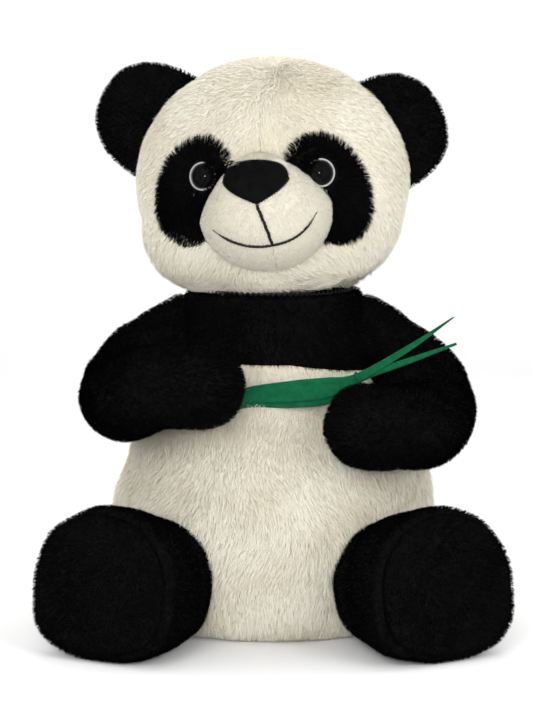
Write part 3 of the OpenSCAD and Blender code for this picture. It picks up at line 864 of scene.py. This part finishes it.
def make_head():
    latitudes = np.concatenate([np.linspace(-58, 80, 60), [83, 86, 88, 89.6]])
    quarters = {
        "face_left": (180, 270, WHITE_HEAD), "face_right": (270, 360, WHITE_HEAD),
        "head_back_right": (0, 90, WHITE_NAPE), "head_back_left": (90, 180, WHITE_NAPE),
    }
    for seed, (name, (first, last, style)) in enumerate(quarters.items()):
        points, faces = grid(head_rings(latitudes, np.linspace(first, last, 36), SKIN))
        surface = lumpy((on_head(points), faces), 0.6, 24, 5)
        plush(name, surface, WHITE_KNIT, style, head_comb, 50 + seed, head_keep, head_length)
    stuffing("head_filling", FIBRE, 4, 1.4, 16)


# ---- Eye patches and eyes ----

def make_patch(side, sign):
    """A leaf-shaped piece of black plush, laid on the face and cut off at the muzzle."""
    rings = []
    shares = np.linspace(1, 0.03, 26)
    angles = np.radians(np.linspace(0, 360, 73)[:-1])
    centre = PATCH_CENTRE[sign]
    for share in shares:
        u = share * PATCH_HALF[0] * np.cos(angles)
        w = share * PATCH_HALF[1] * np.sin(angles)
        across, up = leaned(u, w, PATCH_SLANT)
        x, z = sign * (centre[0] + across), centre[1] + up
        lift = 1.3 * min(1, (1 - share) * 12)
        rings.append(np.column_stack([x, face_y(x, z) - 0.4 - lift, z]))
    points, faces = grid(rings, closed=True)
    middles = points[faces].mean(axis=1)
    faces = faces[muzzle_share(middles[:, 0], middles[:, 2]) > 0.96]
    surface = (on_head(points), faces if sign > 0 else faces[:, ::-1])

    def comb(roots):
        """Out from the middle of the patch."""
        p = in_head(roots)
        flow = (p - [sign * centre[0], 0, centre[1]]) * [1, 0, 1] / 20
        flow[:, 2] -= 0.35
        eye = (np.array([sign * EYE_PLACE[0], 0, EYE_PLACE[1]]) - p) * [1, 0, 1]
        inner = (sign * eye[:, 0] > 2) & (np.linalg.norm(eye, axis=1) < 15)
        flow[inner] = eye[inner] / 6
        return flow @ HEAD_AXES.T

    def from_eye(x, z):
        """How far a root is from the eye, and whether it is on the nose's side of it."""
        across = x - sign * EYE_PLACE[0]
        return np.hypot(across, z - EYE_PLACE[1]), sign * across < 0

    def keep(roots):
        x, _, z = in_head(roots).T
        away, inner = from_eye(x, z)
        return (away > np.where(inner, 8.0, 10.2)) & (muzzle_share(x, z) > 0.98)

    def longer(roots):
        x, _, z = in_head(roots).T
        away, inner = from_eye(x, z)
        return np.where(inner & (away < 14), 1.25, np.interp(away, [9, 16], [0.62, 1.0]))

    plush("eye_patch_" + side, surface, BLACK_KNIT, PATCH, comb, 70 + sign, keep, longer, 0.8)


def face_axes(x, z, height):
    """A place on the face at a height over it, and the axes that stand square to it."""
    point = np.array([x, float(face_y(x, z)), z])
    out = unit(point / HEAD_HALF ** 2)
    side = unit(np.cross([0, 0, 1], out))
    axes = np.column_stack([side, np.cross(out, side), out])
    return on_head([point + out * height])[0], HEAD_AXES @ axes


def turned_piece(outline, sides):
    """A surface of revolution about Z from (radius, height) points, bottom to top."""
    a = np.linspace(0, 2 * np.pi, sides, endpoint=False)
    rings = [np.column_stack([r * np.cos(a), r * np.sin(a), np.full(sides, h)]) for r, h in outline]
    return grid(rings, closed=True)


def make_eye(side, sign):
    place, axes = face_axes(sign * EYE_PLACE[0], EYE_PLACE[1], EYE_LIFT)
    ball = (EYE_RADIUS ** 2 + EYE_RISE ** 2) / (2 * EYE_RISE)
    widest = math.asin(EYE_RADIUS / ball)
    dome = [
        (ball * math.sin(a), EYE_RISE - ball + ball * math.cos(a))
        for a in np.linspace(widest, 0.002, 28)
    ]
    shank = [(0.05, -13), (1.6, -13), (2, -12.6)]
    shank += [(2, h) for h in np.linspace(-12, -0.8, 6)] + [(2.6, -0.2), (5, 0), (7.2, 0), (7.5, 0.05)]
    points, faces = turned_piece(shank + dome, 64)
    stands_for(surface_piece("eye_dome_" + side, (points @ axes.T + place, faces), EYE), "eye_" + side)
    bead = [(8.25 + 0.62 * math.cos(a), 0.4 + 0.7 * math.sin(a)) for a in np.linspace(-2.9, 3.1, 18)]
    points, faces = turned_piece(bead + [bead[0]], 72)
    points[:, 2] -= 1.8 * np.clip(-sign * points[:, 0] / 7, 0, 1)
    rim = surface_piece("eye_rim_" + side, (points @ axes.T + place, faces), EYE_RIM)
    stands_for(rim, "eye_ring_" + side)


# ---- Muzzle, nose and mouth ----

def smile_w(u):
    return SMILE_Z + SMILE_RISE * (np.abs(u) / SMILE_HALF) ** 2.4


def muzzle_point(u, w, height=0.0):
    """A point over the muzzle, in the head's place. u is sideways and w up, before its tilt."""
    rise = w / MUZZLE_HALF[1]
    half = MUZZLE_HALF[0] * egg(rise)
    drift = SEAM_DRIFT * np.clip((6 - w) / 25, 0, 1) * np.maximum(1 - (u / half) ** 2 - rise ** 2, 0)
    across, up = leaned(u + drift, w, MUZZLE_TILT)
    x, z = MUZZLE_CENTRE[0] + across, MUZZLE_CENTRE[1] + up
    share = np.hypot((u + drift) / half, rise)
    reach = MUZZLE_REACH * np.sqrt(np.maximum(0, 1 - share ** MUZZLE_FULLNESS))
    seam = 0.55 * hump(u, 0, 0.8) * np.clip((SMILE_Z - w) / 3, 0, 1)
    pull = 0.9 * hump(w, smile_w(u), 2.6) * (np.abs(u) < SMILE_HALF + 2)
    return np.stack([x, face_y(x, z) - 0.4 - reach - height + seam + 0.6 * pull, z], axis=-1)


def muzzle_rings(first, last, columns):
    shares = np.concatenate([[1, 0.996, 0.985, 0.965], np.linspace(0.94, 0.03, 44)])
    a = arc(first, last, columns)
    rings = []
    for share in shares:
        u = share * MUZZLE_HALF[0] * egg(share * np.sin(a)) * np.cos(a)
        w = share * MUZZLE_HALF[1] * np.sin(a)
        rings.append(muzzle_point(u, w))
    return rings


def muzzle_comb(points):
    p = in_head(points)
    return np.column_stack([p[:, 0] * 0.02, 0 * p[:, 0], -1 + 0 * p[:, 0]]) @ HEAD_AXES.T


def muzzle_keep(points):
    """Roots that aren't under the nose."""
    x, _, z = in_head(points).T
    u, w = to_muzzle(x, z)
    return ~((np.abs(u) < NOSE_HALF - 1) & (w > NOSE_Z - 4) & (w < NOSE_Z + NOSE_TOP - 2))


NAP = Pile(NAP_TONES, 1.5, 0.22, 2.6, 2.0, 0.1, 1.6, 2, 0.2)


def nose_edge(a, share):
    """The nose's outline: a wide arch above a shallow V."""
    c, s = np.cos(a), np.sin(a)
    up = NOSE_TOP * np.maximum(s, 0) ** 0.8
    down = NOSE_BOTTOM * np.maximum(1 - np.abs(c), 0) ** 0.65
    across = share * NOSE_HALF * c
    return across, NOSE_Z - 0.1 * across + share * np.where(s > 0, up, -down)


def make_nose():
    """A small cushion of black velboa, turned under all round and stitched down."""
    a = np.linspace(0, 2 * np.pi, 120, endpoint=False)
    rings = []
    turned_under = [(1.0, 0.5), (1.012, 0.9), (1.012, 1.4), (1.0, 1.9), (0.97, 2.3)]
    inwards = (0.93, 0.87, 0.78, 0.66, 0.52, 0.37, 0.22, 0.06, 0.004)
    for share, height in turned_under + [(share, 2.5 + 0.7 * (1 - share ** 2)) for share in inwards]:
        rings.append(muzzle_point(*nose_edge(a, share), height))
    points, faces = grid(rings, closed=True)
    cushion = thickened((on_head(points), faces), 0.7)
    stands_for(surface_piece("nose_cushion", cushion, BLACK_VELBOA), "nose_patch")
    stitches = []
    for a in np.linspace(0, 2 * np.pi, 71)[:-1]:
        slants = ((-0.012, 0.955), (0.012, 1.035))
        pair = [nose_edge(np.array([a + turn]), share) for turn, share in slants]
        ends = [muzzle_point(u, w, height)[0] for (u, w), height in zip(pair, (2.2, 0.6))]
        middle = (ends[0] + ends[1]) / 2 - [0, 0.7, 0]
        line = [ends[0], (ends[0] + middle) / 2 - [0, 0.2, 0], middle, ends[1]]
        stitches.append(tube(on_head(line), 0.26, 6))
    stands_for(surface_piece("nose_stitches", joined(stitches), EMBROIDERY), "nose_patch", hides=False)


def make_mouth():
    w = np.linspace(NOSE_Z - NOSE_BOTTOM - 0.5, SMILE_Z, 60)
    philtrum = on_head(muzzle_point(0 * w + 0.15 * np.sin(w), w, 0.5))
    u = np.linspace(-SMILE_HALF, SMILE_HALF, 150)
    smile = on_head(muzzle_point(u, smile_w(u), 0.5))
    thin = np.clip((SMILE_HALF - np.abs(u)) / 7, 0.35, 1)
    threads = joined([tube(philtrum, 0.95, 10, 1.3), tube(smile, 0.92 * thin, 10, 1.3)])
    stands_for(surface_piece("mouth_thread", threads, EMBROIDERY), "mouth_stitching")


def make_muzzle():
    halves = {"muzzle_right": (-90, 90), "muzzle_left": (90, 270)}
    for seed, (name, (first, last)) in enumerate(halves.items()):
        points, faces = grid(muzzle_rings(first, last, 64))
        surface = lumpy((on_head(points), faces), 0.18, 16, 8)
        plush(name, surface, CREAM_VELBOA, NAP, muzzle_comb, 80 + seed, muzzle_keep, kind="_nap")
    stuffing("muzzle_filling", FIBRE, 3, 0.8, 10)
    make_nose()
    make_mouth()


# ---- Ears ----

def ear_place(side):
    """The hinge line's place and the ear's axes: across, through, and out of the head."""
    way = np.array(EAR_WAY[side], float)
    surface = way / np.linalg.norm(way / HEAD_HALF)
    lean = math.radians(EAR_LEAN[side])
    out = np.array([math.sin(lean), 0, math.cos(lean)])
    mirror = np.array([SIDES[side], 1, 1])
    axes = np.column_stack([[math.cos(lean), 0, -math.sin(lean)], [0, 1, 0], out])
    return on_head([(surface + out * 7.8) * mirror])[0], HEAD_AXES @ (axes * mirror[:, None])


EARS = {side: ear_place(side) for side in SIDES}


def ear_rings(side, angles, front):
    """Rings from the root to the tip. The front is hollowed a little, like a shallow dish."""
    rings = []
    half = EAR_RADIUS + 0.4
    a = np.radians(angles)
    tip = EAR_TIP[side]
    root = np.linspace(-EAR_ROOT + 0.6, -1, 4)
    for h in np.concatenate([root, np.linspace(0, tip - 5, 20), tip - 1 - np.geomspace(3, 0.02, 10)]):
        wide = half * math.sqrt(max(1 - ((max(h, 0) + 2) / (tip + 1)) ** 2, 0.0001))
        if h < 0:
            deep = math.sqrt(EAR_ROOT ** 2 - h * h)
        else:
            deep = EAR_ROOT * math.sqrt(max(1 - (h / tip) ** 2, 0)) + 4 * math.sin(math.pi * h / tip)
        x, y = wide * np.cos(a), (deep - 1) * np.sin(a)
        if front:
            y = y * (1 - 0.06 * hump(x, 0, 19) * hump(h, 12, 13))
        wrap = x * x / 130 * (1 - np.clip(h / 22, 0, 1))
        rings.append(np.column_stack([x, y, h - wrap - EAR_SUNK[side]]))
    return rings


EAR = Pile(BLACK_TONES, 2.8, 0.36, 1.8, 2.8, 0.15, 0.9, 2, 0.12)


def make_ear(side):
    place, axes = EARS[side]
    sign = SIDES[side]

    def comb(roots):
        return (roots - place) * 0.05 + axes[:, 2]

    for seed, (name, first, last) in enumerate((("ear_front_", 180, 360), ("ear_back_", 0, 180))):
        points, faces = grid(ear_rings(side, np.linspace(first, last, 48), first == 180))
        surface = (points @ axes.T + place, faces if sign > 0 else faces[:, ::-1])
        surface = lumpy(surface, 0.5, 18, 9)
        plush(name + side, surface, BLACK_KNIT, EAR, comb, 90 + seed + 2 * sign, depth=0.9)
    middle = place + axes[:, 2] * 8

    def moved(points):
        """Sunk with the ear, and drawn in a little all round."""
        return middle + (points - middle) * 0.88 - axes[:, 2] * EAR_SUNK[side]

    stuffing("ear_filling_" + side, FIBRE, 2, 1.0, 9, rounding=12, moved=moved)


# ---- Arms ----

def arm_rings(side, angles):
    """Rings from the shoulder round the elbow to the end of the paw, for the right side's X."""
    a = np.radians(angles)
    r = ARM_RADIUS - SKIN
    bends = np.linspace(0, 180, 49)
    middle = arm_line(side, bends)
    along = unit(arm_line(side, np.minimum(bends + 1, 180)) - arm_line(side, np.maximum(bends - 1, 0)))
    along[0] = (1, 0, 0)
    reach = PAWS[side][3] - ARM_RADIUS
    round_end = np.radians(np.concatenate([np.linspace(0, 72, 14), np.linspace(76, 89, 5)]))
    paw = middle[-1] - np.outer(reach + r * np.sin(round_end), [1, 0, 0])
    middle = np.concatenate([middle, paw])
    along = np.concatenate([along, np.tile([-1.0, 0, 0], (len(paw), 1))])
    girth = SHOULDER_TAPER + (1 - SHOULDER_TAPER) * np.sin(np.radians(np.minimum(bends, 90)))
    radius = np.concatenate([ARM_RADIUS * girth - SKIN, r * np.cos(round_end)])
    across = unit(np.cross([0, 0, 1], along))
    up = np.cross(along, across)
    ring = np.cos(a)[None, :, None] * across[:, None] + np.sin(a)[None, :, None] * up[:, None]
    rings = middle[:, None] + radius[:, None, None] * ring
    x, y, z = np.moveaxis(rings, -1, 0)
    upper = np.clip((z - middle[:, None, 2]) / r, 0, 1)
    z += 9.5 * upper * hump(x, 57, 13) * (y > -40)
    inner = np.clip((middle[:, None, 0] - x) / r, 0, 1)
    fold = 1.2 * (ELBOW_REACH[side] - 31)
    x[:49] -= fold * inner[:49] * (np.sin(np.radians(bends)) ** 2)[:, None]
    if side == "right":
        z -= 6 * upper * hump(x, 97, 16) * (y > -60)
    sewn = rings[0].copy()
    depth = 1 - (sewn[:, 1] / profile(sewn[:, 2], 2)) ** 2
    sewn[:, 0] = profile(sewn[:, 2], 1) * np.sqrt(np.maximum(depth, 0)) - 2
    sleeve = [sewn + (rings[0] - sewn) * share for share in (0, 0.25, 0.5, 0.75)]
    return np.concatenate([sleeve, rings])


ARM = Pile(BLACK_TONES, 3.5, 0.38, 1.5, 2.8, 0.2, 0.9, 2, 0.14)


def make_arm(side):
    sign = SIDES[side]
    middle = ARM_MIDDLES[side]
    ways = unit(np.gradient(middle, axis=0))

    def comb(roots):
        """Along the arm, towards the paw."""
        away = np.linalg.norm(roots[:, None] - middle[None], axis=2)
        return ways[away.argmin(axis=1)] + [0, 0, -0.2]

    halves = {"arm_outer_": (-90, 90), "arm_inner_": (90, 270)}
    for seed, (name, (first, last)) in enumerate(halves.items()):
        rings = arm_rings(side, np.linspace(first, last, 40)) * [sign, 1, 1]
        surface = grid(rings)
        surface = surface if sign > 0 else flipped(surface)
        surface = lumpy(surface, 0.9, 24, 11 + sign)
        plush(name + side, surface, BLACK_KNIT, ARM, comb, 100 + seed + 2 * sign)

    def moved(points):
        """Pressed down with the top of the arm."""
        x, y, z = points.T
        top = np.clip((z - 162) / 12, 0, 1) * (y > -80) * (side == "right")
        return np.column_stack([x, y, z - 12 * top * hump(sign * x, 97, 20)])

    stuffing("arm_filling_" + side, FIBRE, 3, 3.0, 14, rounding=10, moved=moved)


# ---- Legs ----

def leg_outline():
    """(radius, height) from the hip's opening to the sole's seam, and from there to its middle."""
    r = LEG_RADIUS - SKIN
    side = [
        (r * math.sin(a), -r * math.cos(a)) for a in arc(HIP_OPENING - 6, 90, 16)
    ]
    rim = 6
    top = LEG_LENGTH - rim - 1
    flare = SOLE_RADIUS - LEG_RADIUS
    side += [(r + flare * math.sin(t * math.pi / 2), top * t) for t in np.linspace(0.1, 1, 12)]
    wide = SOLE_RADIUS - SKIN
    side += [(wide - rim + rim * math.cos(a), top + rim * math.sin(a)) for a in arc(10, 58, 8)]
    edge_r, edge_z = side[-1]
    tuck = [(edge_r - 0.9, edge_z + 0.1), (edge_r - 2.6, edge_z - 1.2)]
    sole = [(edge_r - 1.2, edge_z - 2.2), (edge_r - 1.2, edge_z + 0.2)]
    sole += [
        (edge_r - 1.6 - (edge_r - 1.7) * t, edge_z + 1.2 + 3.6 * math.sin(t * math.pi / 2) ** 0.8)
        for t in np.linspace(0, 1, 24)
    ]
    return side + tuck, sole


LEG = Pile(BLACK_TONES, 2.9, 0.4, 1.3, 2.8, 0.15, 0.9, 2, 0.12)
SOLE = Pile(BLACK_TONES, 2.2, 0.34, 2.2, 2.6, 0.15, 0.9, 2, 0.12)


def make_leg(side):
    sign = SIDES[side]
    hip = HIPS[side]
    splay, tilt = math.radians(LEG_SPLAY), math.radians(LEG_TILT)
    flat = math.cos(tilt)
    out = np.array([sign * math.sin(splay) * flat, -math.cos(splay) * flat, math.sin(tilt)])
    across = unit(np.cross([0, 0, 1], out))
    axes = np.column_stack([across, np.cross(out, across), out])
    leg_side, sole = leg_outline()

    def comb(roots):
        return out + [0, 0, -0.5] + 0 * roots

    def sole_comb(roots):
        return [0, 0, -1] + 0.04 * (roots - hip)

    def keep(roots):
        return roots[:, 2] > 1

    parts = (
        ("leg_side_", leg_side, LEG, comb),
        ("sole_", sole, SOLE, sole_comb),
    )
    for seed, (name, outline, style, flow) in enumerate(parts):
        points, faces = turned_piece(outline, 96)
        share = np.clip(points[:, 2] / LEG_LENGTH, 0, 1)
        low = np.clip(-points[:, 1] / LEG_RADIUS, 0, 1)
        points[:, 0] *= (1 + 0.09 * share) * (1 + 0.4 * low ** 2)
        points = points @ axes.T + hip + np.outer(share, [5.5 * sign, 0, 0])
        surface = lumpy((points, faces), 0.8, 30, 14 + sign)
        surface[0][:, 2] = np.maximum(surface[0][:, 2], 0.8)
        plush(name + side, surface, BLACK_KNIT, style, flow, 110 + seed + 2 * sign, keep)
    stuffing("leg_filling_" + side, FIBRE, 3, 3.5, 14, rounding=34)
    ring = LEG_RADIUS + HIP_GAP
    opening = math.radians(HIP_OPENING)
    centre = hip - out * ring * math.cos(opening)
    whip_stitch("hip_seam_" + side, centre, out, ring * math.sin(opening), 60, 0.35)


# ---- Leaves ----

def smooth_line(points, per_span):
    """A Catmull-Rom curve through points."""
    points = np.asarray(points, float)
    ends = np.concatenate([[2 * points[0] - points[1]], points, [2 * points[-1] - points[-2]]])
    t = np.linspace(0, 1, per_span, endpoint=False)[:, None]
    spans = []
    for a, b, c, d in zip(ends[:-3], ends[1:-2], ends[2:-1], ends[3:]):
        curve = (2 * a - 5 * b + 4 * c - d) * t ** 2 + (3 * b - a - 3 * c + d) * t ** 3
        spans.append(0.5 * (2 * b + (c - a) * t + curve))
    return np.concatenate([*spans, points[-1:]])


def make_blade(name, points, fold, wave):
    """A cut ribbon along a curve, its width upright, creased lengthwise and slightly waved."""
    spine = smooth_line(points, 14)
    middle, width = spine[:, :3], spine[:, 3]
    along = unit(np.gradient(middle, axis=0))
    across = unit(np.cross([0, -1, 0], along))
    out = np.cross(across, along)
    run = np.concatenate([[0], np.cumsum(np.linalg.norm(np.diff(middle, axis=0), axis=1))])
    shares = np.linspace(-0.5, 0.5, 9)
    rings = []
    for share in shares:
        bow = fold * (1 - (2 * share) ** 2) + wave * np.sin(run / 19 + 3 * share)
        rings.append(middle + across * (share * width)[:, None] + out * bow[:, None])
    points, faces = grid(np.stack(rings, axis=1))
    piece = surface_piece(name + "_ribbon", thickened((points, faces), 0.45), RIBBON)
    stands_for(piece, name)


def make_leaves():
    make_blade("leaf_upper", UPPER_BLADE, 0.5, 0.35)
    make_blade("leaf_lower", LOWER_BLADE, -0.7, 0.25)
    low, high = (np.array(corner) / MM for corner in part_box("leaf_tie"))
    centre, half = (low + high) / 2, (high - low) / 2
    t = np.linspace(0, 3 * 2 * np.pi, 160)
    y = half[1] * 0.9 * np.cos(t)
    z = half[2] * 0.78 * np.sin(t)
    x = np.linspace(-0.9, 0.9, len(t))
    x, z = turned_back(x, z, TIE_SLOPE)
    line = np.column_stack([x, y, z])
    stands_for(surface_piece("leaf_tie_thread", tube(line + centre, 0.42, 8), RIBBON), "leaf_tie")


# ---- Inner hardware that keeps its CAD shape ----

def make_washers():
    for side in SIDES:
        washer = frame["nodes"]["eye_washer_" + side]
        washer.data.materials.clear()
        washer.data.materials.append(WASHER)


# ---- Stage ----

def make_stage():
    """A pale sweep, a large soft key in front, fills at the sides, and a small lamp by the camera."""
    rows = [(-2.5, 0.0), (1.3, 0.0)]
    rows += [(1.3 + 0.9 * math.sin(a), 0.9 - 0.9 * math.cos(a)) for a in arc(8, 90, 14)]
    rows += [(2.2, 4.0)]
    rings = [[(x * 1000, y * 1000, z * 1000 - 0.1) for x in np.linspace(-4, 4, 9)] for y, z in rows]
    paper, shader = principled("paper", 0.9, 0.1)
    mottled(paper, shader, (0.86, 0.86, 0.86), (0.88, 0.88, 0.88), 3)
    backdrop = surface_piece("backdrop", grid(rings), paper)
    backdrop.visible_glossy = False
    world = bpy.data.worlds.new("studio")
    bpy.context.scene.world = world
    world.use_nodes = True
    world.node_tree.nodes["Background"].inputs["Color"].default_value = (1, 1, 1, 1)
    world.node_tree.nodes["Background"].inputs["Strength"].default_value = 0.9
    world.cycles_visibility.glossy = False
    lamps = (
        ("key", (-0.5, -1.95, 0.95), 1.1, 22),
        ("fill", (1.3, -1.5, 0.8), 1.2, 16),
        ("top", (0.1, 0.3, 1.8), 1.4, 8),
        ("lens_lamp", (-0.02, -1.72, 0.47), 0.2, 7),
    )
    for name, place, size, power in lamps:
        lamp = bpy.data.lights.new(name, "AREA")
        lamp.shape = "DISK"
        lamp.size = size
        lamp.energy = power
        holder = bpy.data.objects.new(name, lamp)
        holder.location = place
        holder.visible_glossy = name == "lens_lamp"
        aim = Vector((0, 0, 0.2)) - Vector(place)
        holder.rotation_euler = aim.to_track_quat("-Z", "Y").to_euler()
        bpy.context.scene.collection.objects.link(holder)


def make_camera():
    """At the photograph's angle: level with the face, a little above it."""
    aim = Vector((-0.0042, 0, 0.1735))
    elevation = math.radians(7)
    distance = 1.7
    data = bpy.data.cameras.new("camera")
    data.lens = 133.5
    data.sensor_width = 36
    data.clip_start = 0.05
    camera = bpy.data.objects.new("camera", data)
    camera.location = aim + Vector((0, -math.cos(elevation), math.sin(elevation))) * distance
    camera.rotation_euler = (aim - camera.location).to_track_quat("-Z", "Y").to_euler()
    bpy.context.scene.collection.objects.link(camera)
    bpy.context.scene.camera = camera
    bpy.context.scene.view_settings.view_transform = "Standard"


make_camera()
make_stage()
make_torso()
make_neck()
make_head()
for side, sign in SIDES.items():
    make_patch(side, sign)
    make_eye(side, sign)
    make_ear(side)
    make_arm(side)
    make_leg(side)
make_muzzle()
make_leaves()
make_washers()
